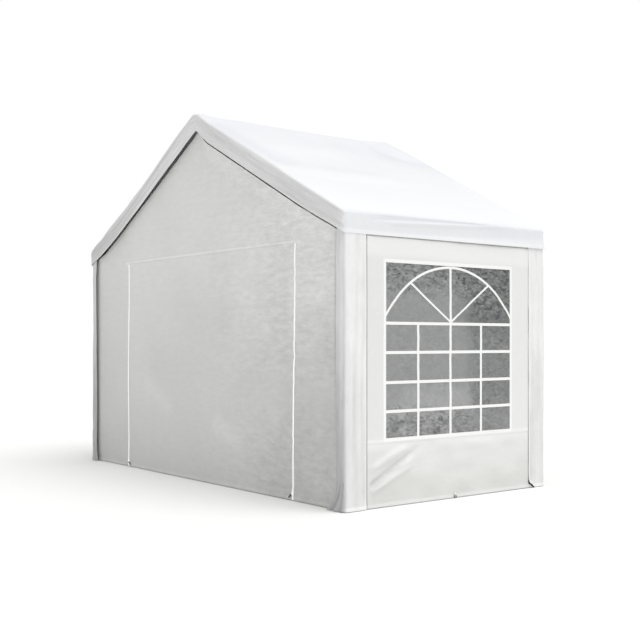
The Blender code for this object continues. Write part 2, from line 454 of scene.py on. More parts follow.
def noise(tree, place, scale, detail=4.0, rough=0.6, distortion=0.0):
    """A Noise node, whose outputs are Fac and Color."""
    feeds = [
        ("Vector", place), ("Scale", scale), ("Detail", detail), ("Roughness", rough),
        ("Distortion", distortion),
    ]
    return add_node(tree, "TexNoise", feeds)


tone_takes = [("Flat place", VECTOR)] + [(name, VALUE) for name in TONE_VALUES]
tone_takes += [(name, COLOUR) for name in TONE_COLOURS]
tone, tone_in, tone_out = new_group("cloth_tone", tone_takes, [("Colour", COLOUR), ("Roughness", VALUE)])
tone_place = tone_in["Flat place"]
streaky = add_node(tone, "Mapping", [("Vector", tone_place), ("Scale", (1.0, 3.0, 1.0))])[0]
cloud = noise(tone, tone_place, 2.2)["Fac"]
streaks = noise(tone, streaky, 9.0, rough=0.70)["Fac"]
unevenness = maths(tone, "MULTIPLY_ADD", cloud, 0.35, maths(tone, "MULTIPLY", streaks, 0.65))
# The painted shade blends the cloth towards its shaded colour.
colour_with_painted_shade = mixed(tone, tone_in["Painted shade"], tone_in["Cloth"], tone_in["Shaded cloth"])
hemmed = mixed(tone, tone_in["Hem"], colour_with_painted_shade, tone_in["Hem cloth"])
strength = maths(tone, "MULTIPLY_ADD", tone_in["Crushed"], 0.78, 0.22)
strength = maths(tone, "MULTIPLY", strength, tone_in["Mottle"])
brightness = maths(tone, "MULTIPLY_ADD", maths(tone, "SUBTRACT", unevenness, 0.5), strength, 1.0)
tint = add_node(tone, "CombineXYZ", [(way, brightness) for way in "XYZ"])[0]
tinted = add_node(tone, "VectorMath", [(0, hemmed), (1, tint)], operation="MULTIPLY")[0]
lowest_rough = maths(tone, "SUBTRACT", tone_in["Roughness"], 0.12)
rough = maths(tone, "MULTIPLY_ADD", unevenness, 0.24, lowest_rough)
feed(tone, tone_out, [("Colour", tinted), ("Roughness", rough)])
print("tone group:", len(tone.nodes), "nodes")

# %% [markdown]
# Sheet that was folded small keeps a fine crinkle, longer across the panel than down it, with the
# small squares of the tapes pressed through. The group gives its height in metres.

# %% Crinkle group
crinkle, crinkle_in, crinkle_out = new_group(
    "packed_crinkle", [("Flat place", VECTOR), ("Amount", VALUE), ("Depth", VALUE)], [("Height", VALUE)]
)
stretch_feeds = [("Vector", crinkle_in["Flat place"]), ("Scale", (0.8, 2.4, 1.0))]
stretched = add_node(crinkle, "Mapping", stretch_feeds)[0]
long_crinkle = noise(crinkle, stretched, 13.0, 1.5, 0.5)["Fac"]
cell_feeds = [("Vector", stretched), ("Scale", 26.0)]
small_cells = add_node(crinkle, "TexVoronoi", cell_feeds, feature="SMOOTH_F1")["Distance"]
pressed = maths(crinkle, "MULTIPLY_ADD", small_cells, 0.35, long_crinkle)
deep = maths(crinkle, "MULTIPLY", crinkle_in["Amount"], crinkle_in["Depth"])
feed(crinkle, crinkle_out, [("Height", maths(crinkle, "MULTIPLY", pressed, deep))])
print("crinkle group:", len(crinkle.nodes), "nodes")

# %% [markdown]
# Roof, walls and leg covers are the same kind of sheet, so one function builds each finish from
# the groups. Their colours are partly painted light: each is set as bright as its faces look
# under the light, and the trims and the gable get shaded copies. Crinkles run across a panel. On
# the leg covers they are turned upright, and on the trims they are drawn out along the edge.


# %% Cloth finishes
TAPE_DEPTH = 0.00003


def cloth_finish(
    name, cloth, shaded_cloth, hem_cloth, roughness, mottle, crinkle_depth, turned=0.0, stretch=(1, 1, 1)
):
    """A coated sheet's material. Its third colour is that of its painted shade. turned is in degrees."""
    finish, tree, surface = new_finish(name)
    flat_map = add_node(tree, "UVMap", uv_map="flat")[0]
    flat_feeds = [("Vector", flat_map), ("Rotation", (0, 0, math.radians(turned))), ("Scale", stretch)]
    flat_place = add_node(tree, "Mapping", flat_feeds)[0]
    hem, grey, crushed = (
        add_node(tree, "Attribute", attribute_name=painted)["Fac"]
        for painted in ("hem", "grey", "crushed")
    )
    tone_feeds = [
        ("Flat place", flat_place), ("Hem", hem), ("Painted shade", grey), ("Crushed", crushed),
        ("Cloth", (*cloth, 1)), ("Hem cloth", (*hem_cloth, 1)), ("Shaded cloth", (*shaded_cloth, 1)),
        ("Roughness", roughness), ("Mottle", mottle),
    ]
    shades = add_node(tree, "Group", tone_feeds, node_tree=tone)
    tape_feeds = [("Flat place", flat_map), ("Depth", TAPE_DEPTH)]
    tapes = add_node(tree, "Group", tape_feeds, node_tree=weave)["Height"]
    crease_feeds = [("Flat place", flat_place), ("Amount", crushed), ("Depth", crinkle_depth)]
    creases = add_node(tree, "Group", crease_feeds, node_tree=crinkle)["Height"]
    bump_feeds = [("Height", maths(tree, "ADD", tapes, creases)), ("Distance", 1.0), ("Strength", 1.0)]
    bump = add_node(tree, "Bump", bump_feeds)["Normal"]
    looks = [("Base Color", shades["Colour"]), ("Roughness", shades["Roughness"]), ("Normal", bump)]
    feed(tree, surface, looks)
    return finish


roof_finish = cloth_finish(
    "roof_sheet_finish", (0.897, 0.90, 0.918), (0.687, 0.692, 0.735), (0.88, 0.882, 0.89),
    0.46, 0.08, 0.0016,
)
# The trims are part of the roof's sheet: this copy, greyer and without the blue, is painted shade.
shaded_trim_finish = cloth_finish(
    "gable_trim_shaded_finish", (0.90, 0.897, 0.90), (0.62, 0.612, 0.612), (0.88, 0.878, 0.88),
    0.46, 0.80, 0.0020, stretch=(0.4, 2.4, 1),
)
cover_finish = cloth_finish(
    "leg_cover_finish", (0.855, 0.855, 0.855), (0.36, 0.36, 0.365), (0.92, 0.92, 0.915),
    0.46, 0.34, 0.0034, turned=90,
)
# The gable panel is the same sheet as the side walls: this darker copy is painted shade.
shaded_gable_finish = cloth_finish(
    "gable_sheet_shaded_finish", (0.777, 0.777, 0.765), (0.55, 0.55, 0.538), (0.93, 0.93, 0.92),
    0.50, 0.86, 0.0050,
)
side_finish = cloth_finish(
    "side_sheet_finish", (0.86, 0.86, 0.848), (0.64, 0.64, 0.625), (0.91, 0.91, 0.90),
    0.48, 0.16, 0.0024,
)
print("cloth finishes ready")

# %% [markdown]
# The roof is one sheet: two slopes, a hanging edge along each eave and a trim down each gable.
# Flat boards would show breaks at every edge. So one cloth is folded over the shape of the house,
# and every fold is rounded by one rule: each point moves towards the nearest point of a slightly
# smaller house, and stops one radius away from it.

# %% Folding cloth over the house shape
FOLD_RADIUS = 0.032


def house_point(u, v):
    """Where the sharp fold puts a flat point, u across the gables and v along the ridge."""
    reach = np.minimum(np.abs(u) / ALONG, HALF_WIDTH)
    down_eave = np.maximum(np.abs(u) - SLOPE_LENGTH, 0)
    down_gable = np.maximum(np.abs(v) - HALF_LENGTH, 0)
    height = RIDGE - SLOPE * reach - down_eave - down_gable
    return np.sign(u) * reach, np.clip(v, -HALF_LENGTH, HALF_LENGTH), height


def house_core(x, y, z, radius):
    """The nearest point of the house shrunk by the radius."""
    wide, high = HALF_WIDTH - radius, RIDGE - radius * ALONG
    reach = np.abs(x)
    over = np.maximum((SLOPE * reach + z - high) / ALONG**2, 0)
    core_x, core_z = reach - SLOPE * over, z - over
    past_ridge = core_x < 0
    core_x, core_z = np.where(past_ridge, 0, core_x), np.where(past_ridge, high, core_z)
    past_eave = core_x > wide
    core_z = np.where(past_eave, np.minimum(z, high - SLOPE * wide), core_z)
    core_x = np.minimum(core_x, wide)
    long = HALF_LENGTH - radius
    return np.sign(x) * core_x, np.clip(y, -long, long), core_z


def fold_over_house(u, v):
    """Rounded place of each flat point, and the way its cloth faces."""
    sharp = np.stack(house_point(u, v), axis=1)
    core = np.stack(house_core(*sharp.T, FOLD_RADIUS), axis=1)
    facing = sharp - core
    facing /= np.linalg.norm(facing, axis=1, keepdims=True)
    return core + FOLD_RADIUS * facing, facing


print("fold radius", FOLD_RADIUS)

# %% [markdown]
# Laid flat, the roof sheet is a rectangle without its four corner squares. Its grid is dense where
# it will fold and at its hems. The trims get a shaded copy of the roof's finish.

# %% Roof sheet, laid flat
FINE = 0.007
COARSE = 0.024
NEAR_FOLD = 0.036
HEM = 0.024
CLOTH = 0.0012


def to_hem(edge):
    """The last stops of a hanging edge: the hem's seam and the hem."""
    return (edge - HEM - 0.002, 0.012), (edge - HEM, 0.002), (edge, 0.012)


half_across = stations(
    0, (NEAR_FOLD, FINE), (SLOPE_LENGTH - NEAR_FOLD, COARSE), (SLOPE_LENGTH + NEAR_FOLD, FINE),
    *to_hem(SLOPE_LENGTH + EDGE_DROP),
)
half_along = stations(
    0, (HALF_LENGTH - NEAR_FOLD, COARSE), (HALF_LENGTH + NEAR_FOLD, FINE), *to_hem(HALF_LENGTH + EDGE_DROP)
)
roof = lay_cloth("roof_tarpaulin", mirrored(half_across), mirrored(half_along))
cut_out(roof, lambda u, v: (np.abs(u) > SLOPE_LENGTH) & (np.abs(v) > HALF_LENGTH))
roof_u, roof_v = keep_flat_map(roof)
wear(roof, roof_finish, shaded_trim_finish)
over_end = np.abs(face_middles(roof)[:, 1]) > HALF_LENGTH - 0.004
roof.data.polygons.foreach_set("material_index", over_end.astype(np.int32))
print("roof sheet:", len(roof_u), "points,", brief((2 * half_across[-1], 2 * half_along[-1])), "m")

# %% [markdown]
# Between the tubes the sheet sags a little. Past the rear rafter it stands up in a soft corner
# beside the ridge, with a crease where it leaves the frame. Broad shallow folds run down the
# slopes.

# %% Sags and folds of the roof
SAG = 0.013
REAR_LIFT = 0.030
CREASE_DEPTH = 0.010
ROOF_FOLDS = (
    ((0.20, -0.58), (1.35, -0.92), 0.080, -0.009), ((0.35, -0.48), (1.25, -0.76), 0.070, 0.006),
    ((1.44, -1.10), (1.36, 0.30), 0.085, -0.006), ((1.26, -1.10), (1.16, 0.35), 0.085, 0.005),
    ((0.70, -0.50), (0.30, 0.65), 0.120, 0.007),
)

slope_u = np.abs(roof_u)
down_share = slope_u / SLOPE_LENGTH
on_slope = ease((SLOPE_LENGTH - slope_u) / 0.08) * ease((HALF_LENGTH - np.abs(roof_v)) / 0.08)
half_way = np.clip(roof_v / (2 * HALF_LENGTH), -0.5, 0.5)
lift = -SAG * np.sin(np.pi * unit(down_share)) * np.cos(np.pi * half_way)
lift += on_slope * 0.004 * crumple(roof_u, roof_v, 0.42, 0.30, 4)
lift += on_slope * 0.0014 * crumple(roof_u, roof_v, 0.11, 0.16, 5)
lift += folds(slope_u, roof_v, ROOF_FOLDS)

crease_v = 0.70 + 0.24 * unit(slope_u / 1.3)
past_crease = ease((roof_v - crease_v) / (HALF_LENGTH - 0.01 - crease_v))
rear_lift = REAR_LIFT * past_crease * (0.7 + 0.3 * ease(slope_u / 0.4)) * unit(1 - down_share) ** 0.6
crease_line = 0.70 + 0.40 * ease((slope_u - 0.35) / 0.55)
near_crease = bell(roof_v, crease_line, 0.085) * ease(slope_u / 0.40)
near_crease *= 1 - ease((slope_u - 0.50) / 0.50)
lift -= CREASE_DEPTH * near_crease * on_slope
print("roof lifted by", brief((lift.min(), lift.max())))

# %% [markdown]
# The edge over each eave has long folds that meet at the far end, a few pleats there and a hem
# that kicks out. The trims have one long wave on each side of the ridge. The lines of their folds
# are kept, to paint shade and light along them.

# %% Folds of its hanging edges
VALANCE_FOLDS = (
    ((-0.85, 0.018), (0.42, 0.004), 0.010, -0.0040), ((-0.88, 0.040), (0.60, 0.004), 0.008, -0.0035),
    ((-0.75, 0.068), (0.66, 0.008), 0.012, 0.0080),
)
# Stripes of painted shade under the valance's folds.
STRIPE_SHADES = (
    ((-0.85, 0.018), (0.50, 0.004), 0.007, 1.0), ((-0.88, 0.040), (0.66, 0.006), 0.006, 0.8),
)
PLEATS = (0.905, 0.935, 0.960)
HEM_KICK = 0.13

hang = np.maximum(np.abs(roof_v) - HALF_LENGTH, slope_u - SLOPE_LENGTH)
on_valance = slope_u > SLOPE_LENGTH
valance_v = np.where(roof_u > 0, roof_v, -roof_v)
drop = slope_u - SLOPE_LENGTH
hem_crease = 0.145 - 0.035 * (valance_v + HALF_LENGTH)
edge_lift = folds(valance_v, drop, VALANCE_FOLDS) + HEM_KICK * np.maximum(drop - hem_crease, 0)
for pleat in PLEATS:
    edge_lift += fold(valance_v, drop, (pleat, 0.0), (pleat + 0.006, 0.13), 0.006, -0.0035)
stripe_shade = folds(valance_v, drop, STRIPE_SHADES)
lift += np.where(on_valance, edge_lift, 0)

trim_drop = np.abs(roof_v) - HALF_LENGTH
on_trim = ease((trim_drop + 0.012) / 0.03)
lift += on_trim * 0.0035 * (1 + crumple(roof_u, trim_drop, 0.45, 0.036, 9))
lift += on_trim * 0.0015 * crumple(roof_u, trim_drop, 0.12, 0.060, 10)
left_line = fold(roof_u, trim_drop, (-2.20, 0.078), (-0.10, 0.045), 0.009)
low_line = fold(roof_u, trim_drop, (-2.25, 0.118), (-0.60, 0.100), 0.006)
right_line = fold(roof_u, trim_drop, (0.05, 0.030), (1.90, 0.062), 0.011)
lift += 0.0050 * left_line + 0.0040 * right_line
edge_wave = ease(hang / EDGE_DROP) * 0.0035 * crumple(roof_u, roof_v, 0.33, 0.37, 8)
lift += edge_wave * ease((SLOPE_LENGTH + 0.02 - slope_u) / 0.2 + (hang == drop))
roof_hem = ((hang > EDGE_DROP - HEM - 0.001) & (hang <= EDGE_DROP + 1e-6)).astype(float)
lift += 0.0008 * roof_hem
print("hanging edges folded")

# %% [markdown]
# Where the sheet isn't pulled tight it goes past a few millimetres: the trims hang longer than
# their solids, the ridge's front end stands up on its left, the eave corner below it puffs out,
# and the ridge's rear end reaches over the gable.

# %% Hang the roof
REAR_SPREAD = 0.040
TRIM_LONGER = 0.018
RIDGE_PUFF = 0.040
FRONT_RISE = 0.012
TRIM_RISE = 0.034
CORNER_PUFF = 0.052
CORNER_FORWARD = 0.011

place, facing = fold_over_house(roof_u, roof_v)
place = place + facing * lift[:, None]
place[:, 2] += rear_lift
place[:, 1] += REAR_SPREAD * past_crease * ease((roof_v - 0.76) / 0.24) * unit(1 - down_share)
trim_share = unit(trim_drop / EDGE_DROP)
place[:, 2] -= TRIM_LONGER * trim_share * ease((SLOPE_LENGTH - slope_u) / 0.60)

down_left = np.maximum(-roof_u, 0)
fold_rise = FRONT_RISE + RIDGE_PUFF * ease(down_left / 0.09) * (1 - ease((down_left - 0.30) / 0.85))
fold_rise += 0.014 * bell(down_left, 1.85, 0.22)
edge_rise = TRIM_RISE * unit(1 - down_left / 1.67)
front_rise = (1 - trim_share) * fold_rise + trim_share * edge_rise
front_rise *= 1 - ease(roof_u / 0.22)
front_rise *= ease((SLOPE_LENGTH - slope_u) / 0.12) * ease((-roof_v - HALF_LENGTH + 0.22) / 0.20)
place[:, 2] += front_rise
puff = ease((-roof_u - SLOPE_LENGTH + 0.20) / 0.20) * ease((-roof_v - HALF_LENGTH + 0.20) / 0.20)
puff *= 0.70 + 0.30 * ease(2 * hang / EDGE_DROP) - 0.32 * ease(2 * hang / EDGE_DROP - 1)
place[:, 0] -= CORNER_PUFF * puff
place[:, 1] -= CORNER_FORWARD * puff
write_points(roof, place)
print("roof hung, ridge risen by", brief([front_rise.max()]))

# %% [markdown]
# Shade is painted on the roof: the slopes are greyest near the ridge and along the rear crease,
# with a painted soft shade or highlight in each broad fold. The trims, darkest along their fold
# lines, and the folds over the eaves get darker painted shade, and the hem below the eave's crease
# a painted highlight. Then the corners are welded and the sheet gets its thickness inwards.

# %% Tones of the roof
ROOF_SHADES = (
    ((0.05, -0.95), (1.30, -0.82), 0.12, 0.22), ((0.30, 0.05), (0.62, 0.78), 0.15, 0.09),
    ((1.14, -1.00), (1.10, 0.20), 0.10, 0.13), ((0.85, -0.75), (0.60, 0.05), 0.20, -0.13),
    ((0.40, 0.50), (1.00, 1.20), 0.16, 0.13), ((1.45, -1.00), (1.35, 0.40), 0.12, -0.05),
)

# Painted shade near the ridge and in the crease, and painted shade and highlights over the folds.
grey = 0.38 * (1 - unit(slope_u / 2.0) ** 1.5) + 0.22 * near_crease
grey += 0.07 * crumple(slope_u, roof_v, 0.34, 0.22, 11) * (1 - down_share)
grey += folds(slope_u, roof_v, ROOF_SHADES)
# Painted shade on the trims: darker along their fold lines and at the far left, lighter near the right
# eave.
trim_shade = 0.54 + 0.04 * ease(-roof_u / 0.4) + 0.70 * left_line + 0.5 * low_line - 0.14 * right_line
trim_shade += 0.18 * crumple(roof_u, trim_drop, 0.60, 0.020, 12) + 0.34 * ease((-roof_u - 1.3) / 0.8)
grey = grey * (1 - on_trim) + on_trim * trim_shade
grey *= 1 - 0.45 * on_trim * ease((roof_u - SLOPE_LENGTH + 0.075) / 0.070)
# Painted shade over the folds round the eaves, with dark stripes under the valance's folds and a painted
# highlight on its hem.
fold_shade = (0.37 + 0.09 * ease((valance_v + 0.2) / 0.8)) * ease((drop + 0.042) / 0.036)
grey += fold_shade * (1 - 0.5 * ease((valance_v - 0.3) / 0.6)) * (1 - on_trim)
valance_shade = fold_shade - 0.16 * ease((drop - hem_crease) / 0.02) + 0.45 * stripe_shade
valance_shade += 0.05 * crumple(valance_v, drop, 0.30, 0.03, 13)
grey = np.where(on_valance, valance_shade, grey)
paint(roof, hem=roof_hem * (0.5 - 0.25 * on_trim), grey=grey, crushed=0.25 + 0.75 * ease(hang / 0.05))

edit_mesh(roof, bpy.ops.mesh.remove_doubles, threshold=0.0015)
apply_modifier(roof, "SOLIDIFY", "cloth", thickness=CLOTH, offset=-1)
smooth(roof)
print("roof:", len(roof.data.polygons), "faces")

# %% [markdown]
# A finished piece rides on the frame's root, and the solids that it stands for are hidden.


# %% Hand the roof over
def hand_over(piece, slot, *nodes):
    """Ties a finished piece to the frame and hides the solids that it stands for."""
    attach(piece, "root")
    if nodes:
        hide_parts(*nodes)


SIDES = ("left", "right")
trims = [f"gable_trim_{end}_{side}" for end in ("front", "rear") for side in SIDES]
slopes = [f"roof_slope_{side}" for side in SIDES] + [f"valance_{side}" for side in SIDES]
hand_over(roof, "roof_cloth", *slopes, *trims)

# %% [markdown]
# Both gables are alike, so a front piece serves at the rear too, turned half round. A mirrored
# piece also needs its faces turned out again.


# %% Turning and finishing pieces
def turn_round(piece):
    """Turns a piece half round the middle of the tent."""
    points = read_points(piece)
    points[:, :2] *= -1
    write_points(piece, points)


def turned_copy(piece, name):
    """A copy with its own mesh, at the opposite corner of the tent."""
    take(piece)
    bpy.ops.object.duplicate()
    twin = bpy.context.object
    twin.name = name
    turn_round(twin)
    return twin


def flip_over(piece, axis):
    """Mirrors a piece over x, 0, or y, 1, and turns its faces out again."""
    points = read_points(piece)
    points[:, axis] *= -1
    write_points(piece, points)
    edit_mesh(piece, bpy.ops.mesh.flip_normals)


def finish_cloth(piece, finish, thickness=CLOTH):
    """Gives a hung sheet its thickness, inwards, and its finish."""
    apply_modifier(piece, "SOLIDIFY", "cloth", thickness=thickness, offset=-1)
    smooth(piece)
    wear(piece, finish)


# %% [markdown]
# Each leg wears an angle of the same sheet: a narrow face to the gable, a wide one to the side and
# a round corner between, from under the roof's edge to the ground. A flat strip is folded round
# the corner by the roof's rule. At its foot one cover spreads over the ground and another has
# ridden up, one bulges under the puffed eave corner, and their gable faces curl a little.

# %% Leg covers
COVER_RADIUS = 0.034
COVER_INSIDE = 0.0014
TUCK = 0.020
SPREAD_HEIGHT = 0.125
BULGE_HEIGHT = 1.87
FULL_SPREAD = 0.09
FOOT_FOLDS = (
    ((-0.018, 0.180), (-0.042, -0.020), 0.008, 0.009), ((-0.056, 0.140), (-0.076, -0.020), 0.008, 0.008),
    ((0.026, 0.160), (0.008, -0.020), 0.009, 0.006), ((0.055, 0.300), (0.120, 0.060), 0.016, 0.005),
    ((0.140, 0.240), (0.100, 0.010), 0.014, 0.004),
)
# Valleys between the folds at the foot, where shade is painted.
FOOT_VALLEY_SHADES = (
    ((-0.008, 0.210), (-0.026, -0.030), 0.0045), ((-0.042, 0.190), (-0.060, -0.030), 0.0055),
)
gable_face = cover_high.x - cover_low.x
side_face = cover_high.y - cover_low.y
COVER_HEIGHT = valance_low.z + TUCK - HEM_FOOT


def round_corner_plan(s):
    """The core of the rounded corner below each flat place s, and the way the cloth faces."""
    corner = (HALF_WIDTH - COVER_RADIUS, -HALF_LENGTH + COVER_RADIUS)
    sharp = np.stack((HALF_WIDTH + np.minimum(s, 0), -HALF_LENGTH + np.maximum(s, 0)), axis=1)
    core = np.stack((np.minimum(sharp[:, 0], corner[0]), np.maximum(sharp[:, 1], corner[1])), axis=1)
    return core, (sharp - core) / np.linalg.norm(sharp - core, axis=1, keepdims=True)


def paint_cover(cover, s, v, hem, foot, extra_shade, seed):
    """Paints shade: streaks, a darker round corner and gable face, darker low down, and dark valleys at
    the foot.
    """
    lower_down = ease((1.4 - v) / 1.1)
    grey = 0.02 + 0.23 * lower_down + 0.22 * lower_down * ease((-s + 0.016) / 0.04)
    grey += ease((-s + 0.019) / 0.014) * (0.18 + extra_shade + 0.10 * unit(-s / gable_face))
    grey += 0.13 * crumple(s, v, 0.022, 0.60, seed + 9) + 0.06 * crumple(s, v, 0.05, 0.10, seed + 10)
    grey += 0.90 * foot * folds(s, v, FOOT_VALLEY_SHADES)
    paint(cover, hem=0.6 * hem * ease(s / 0.03 + 0.3), grey=grey, crushed=np.full(len(s), 0.7))


def make_leg_cover(name, seed, spread, curl, ridden_up=0.0, bulge=0.0, extra_shade=0.0):
    """The cover of the front right leg. curl is the gable face's turn at its foot and at its top."""
    across = stations(
        -gable_face, (-gable_face + 0.010, 0.010), (-gable_face + 0.012, 0.002), (-0.064, 0.010),
        (0.060, 0.0045), (side_face - 0.012, 0.014), (side_face - 0.010, 0.002), (side_face, 0.010),
    )
    along = stations(0, (HEM, 0.008), (HEM + 0.002, 0.002), (0.18, 0.008), (COVER_HEIGHT, 0.024))
    cover = lay_cloth(name, across, along)
    s, v = keep_flat_map(cover)

    free = ease((COVER_HEIGHT - 0.05 - v) / 0.15)
    on_gable = ease(-s / gable_face)
    low = unit((SPREAD_HEIGHT - v) / SPREAD_HEIGHT)
    foot = min(1.0, spread / FULL_SPREAD)
    hem = ((v < HEM + 0.001) | (s < -gable_face + 0.011) | (s > side_face - 0.011)).astype(float)
    lift = free * 0.0040 * (1 + crumple(s, v, 0.045, 0.42, seed)) * ease((side_face - s) / 0.05 + 0.25)
    lift += free * 0.0020 * (1 + crumple(s, v, 0.08, 0.10, seed + 5))
    lift += 0.0008 * hem + foot * folds(s, v, FOOT_FOLDS)

    core, facing = round_corner_plan(s)
    plan = core + (COVER_RADIUS - COVER_INSIDE + lift)[:, None] * facing
    spread_out = spread * low**1.5 * on_gable
    plan[:, 0] -= spread_out
    curled = (curl[0] + (curl[1] - curl[0]) * v / COVER_HEIGHT) * (1 - low)
    plan[:, 1] += curled * unit((-s - 0.02) / (gable_face - 0.02)) ** 1.4
    plan[:, 1] -= 0.09 * spread * low**2 * (0.4 + 0.6 * on_gable)
    bulge = bulge * (1 + 1.1 * bell(v, BULGE_HEIGHT, 0.12)) * (1 - on_gable)
    plan[:, 0] += bulge * (1 - 0.4 * ease((s - 0.02) / 0.16))
    plan[:, 1] -= 0.24 * bulge * (0.4 + 0.6 * free) * (1 - ease(s / 0.10))
    plan[:, 0] += 0.10 * spread * low**2 * (1 - on_gable)

    unspread_x = np.minimum(plan[:, 0] + spread_out, HALF_WIDTH)
    top = roof_top(unspread_x) - EDGE_DROP + TUCK
    height = HEM_FOOT + v / COVER_HEIGHT * (top - HEM_FOOT)
    raised = ridden_up * unit(1 - (side_face - s) / 0.066)
    height += raised * unit(1 - v / 0.16)
    plan[:, 0] += 0.25 * raised * low**2
    write_points(cover, np.column_stack((plan, height)))
    paint_cover(cover, s, v, hem, foot, extra_shade, seed)
    return cover


leg_covers = {
    "front_right": make_leg_cover("leg_cover_cloth_front_right", 21, 0.095, (0.001, 0.003)),
    "rear_right": make_leg_cover(
        "leg_cover_cloth_rear_right", 22, 0.004, (0.016, 0.016), ridden_up=0.044
    ),
    # The front left cover's corner gets more painted shade.
    "front_left": make_leg_cover(
        "leg_cover_cloth_front_left", 23, 0.030, (0.001, -0.010), bulge=0.022, extra_shade=0.18
    ),
}
flip_over(leg_covers["rear_right"], 1)
flip_over(leg_covers["front_left"], 0)
for cover in leg_covers.values():
    finish_cloth(cover, cover_finish)
leg_covers["rear_left"] = turned_copy(leg_covers["front_right"], "leg_cover_cloth_rear_left")
for corner, cover in leg_covers.items():
    hand_over(cover, "roof_cloth", f"leg_cover_{corner}")
print("leg covers:", [len(c.data.polygons) for c in leg_covers.values()], "faces")

# %% [markdown]
# A gable wall is one upright sheet with a doorway, closed by a door of the same sheet between two
# zips. Wall and door must look like one panel, so both lie on the same stations and share one set
# of waves. The panel is drawn aside, so that both zips lean a little.

# %% Waves of the gable
GABLE_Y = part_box("gable_wall_front")[0].y
WALL_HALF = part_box("gable_wall_front")[1].x
JAMB = zip_high.x + 0.0003
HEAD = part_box("door_front")[1].z
SLIT_LEFT = 0.147
SLIT_RIGHT = 0.1880
ZIP_LEAN = 0.0167
ZIP_ASIDE = 0.024
GABLE_FOLDS = (
    ((-0.10, 2.25), (1.25, 1.25), 0.11, 0.0065), ((0.10, 1.95), (0.95, 0.95), 0.09, 0.0045),
    ((-0.95, 0.84), (-0.38, 0.52), 0.085, 0.0070), ((0.18, 0.44), (0.62, 0.33), 0.060, 0.0060),
)


def drawn_aside(x, z):
    """How far the panel is drawn to its right, most at the doorway and nothing at its edges."""
    share = unit((x + JAMB) / (2 * JAMB))
    drawn = (1 - share) * ZIP_ASIDE + share * ZIP_LEAN * z
    drawn = drawn * ease((WALL_HALF - 0.05 - np.abs(x)) / 0.35)
    return drawn * ease((roof_top(x) - SLIT_RIGHT - z) / 0.22)


def gable_waves(x, z):
    """How far the panel stands out, and how crushed it is."""
    right_part = ease((x + 0.30) / 1.30) * (0.6 + 0.4 * ease((x - 0.5) / 0.8))
    crushed = 0.08 + 0.92 * right_part * (1 - 0.65 * bell(z, 0.74, 0.18))
    waves = 0.0055 * crumple(x, z, 0.85, 0.62, 31) + 0.0028 * crumple(x, z, 0.30, 0.24, 32)
    waves += crushed * 0.0038 * crumple(x, z, 0.120, 0.046, 33)
    return waves + folds(x, z, GABLE_FOLDS), crushed


print("gable face and half a doorway:", brief((GABLE_Y, JAMB)))

# %% [markdown]
# Shade is painted on the panel: greyest low down and on its right, paler where a fold catches the
# sky, and a soft dark edge beside the leg cover.


# %% Tones of the gable
GABLE_SHADES = (
    ((-1.02, 0.80), (-0.42, 0.52), 0.085, -0.16), ((0.10, 0.50), (0.70, 0.34), 0.075, -0.16),
    ((0.55, 2.05), (1.55, 1.35), 0.16, -0.12), ((-0.60, 1.60), (0.50, 1.10), 0.22, 0.06),
)


def stand_gable(cloth, x, z, right_end):
    """Paints shade on a cloth of the front gable. Gives how far it stands out, and its hem."""
    waves, crushed = gable_waves(x, z)
    held = ease((z - HEM_FOOT) / 0.10) * ease((WALL_HALF + x) / 0.10) * ease((right_end - x) / 0.05)
    hem = (z < HEM_FOOT + HEM + 0.001).astype(float)
    lowness = unit(1 - z / 1.85)
    # Painted shade: darker low down, on the right and at the far left, with painted shade and highlights
    # along folds and in patches.
    grey = lowness**1.05 * 0.75 + lowness * 0.56 * ease((x - 0.5) / 1.1)
    grey += 0.09 * ease((-1.20 - x) / 0.2) + 0.06 * crumple(x, z, 0.45, 0.30, 35) * ease(z / 0.3)
    grey += 0.11 * crushed * crumple(x, z, 0.19, 0.07, 36) * ease(z / 0.3)
    grey += folds(x, z, GABLE_SHADES)
    grey += 0.07 * ease((1.1 - np.abs(x)) / 0.3) * ease((z - 0.6) / 0.3) * ease((1.6 - z) / 0.3)
    grey -= 0.11 * ease((x - 1.25) / 0.2) * ease((z - 1.0) / 0.4)
    # A painted soft dark edge beside the leg cover.
    grey += 0.65 * ease((x - right_end + 0.041) / 0.014)
    paint(cloth, grey=grey, crushed=crushed)
    return waves * held + 0.0008 * hem, 0.15 * hem


# %% [markdown]
# The wall ends a little below the roof's trim: through that slit, which isn't equally wide
# everywhere, the dark inside shows as a black line along the slopes. Both side edges of the front
# wall are pulled forward to the leg covers, and its right one stops short. The rear wall is made
# as a front one with an even slit and its full width, and then turned round.

# %% Gable walls
SLIT_PLACES = (-1.90, -1.50, -0.09, -0.047, 0.0, 0.05, 0.14, 1.40, 1.66, 1.86)
SLIT_FRONT = (0.138, 0.143, 0.125, 0.110, 0.162, 0.1745, SLIT_RIGHT, SLIT_RIGHT, 0.179, 0.1685)
SLIT_REAR = (SLIT_LEFT,) * len(SLIT_PLACES)
WALL_RIGHT = 1.8546
EDGE_FORWARD = 0.020
EDGE_BEND = 0.16
SEAM = 0.020
NOMINAL_TOP = HEAD + 1.0
SEAM_TOP = HEAD + SEAM + 0.002

door_rows = stations(
    HEM_FOOT, (HEM_FOOT + HEM, 0.012), (HEM_FOOT + HEM + 0.002, 0.002), (HEAD, 0.017)
)
upper_rows = stations(HEAD, (HEAD + SEAM, 0.010), (SEAM_TOP, 0.002), (NOMINAL_TOP, 0.017))
left_part = stations(
    WALL_HALF, (WALL_HALF - 0.012, 0.012), (WALL_HALF - 0.014, 0.002), (JAMB, 0.022), (0, 0.026)
)


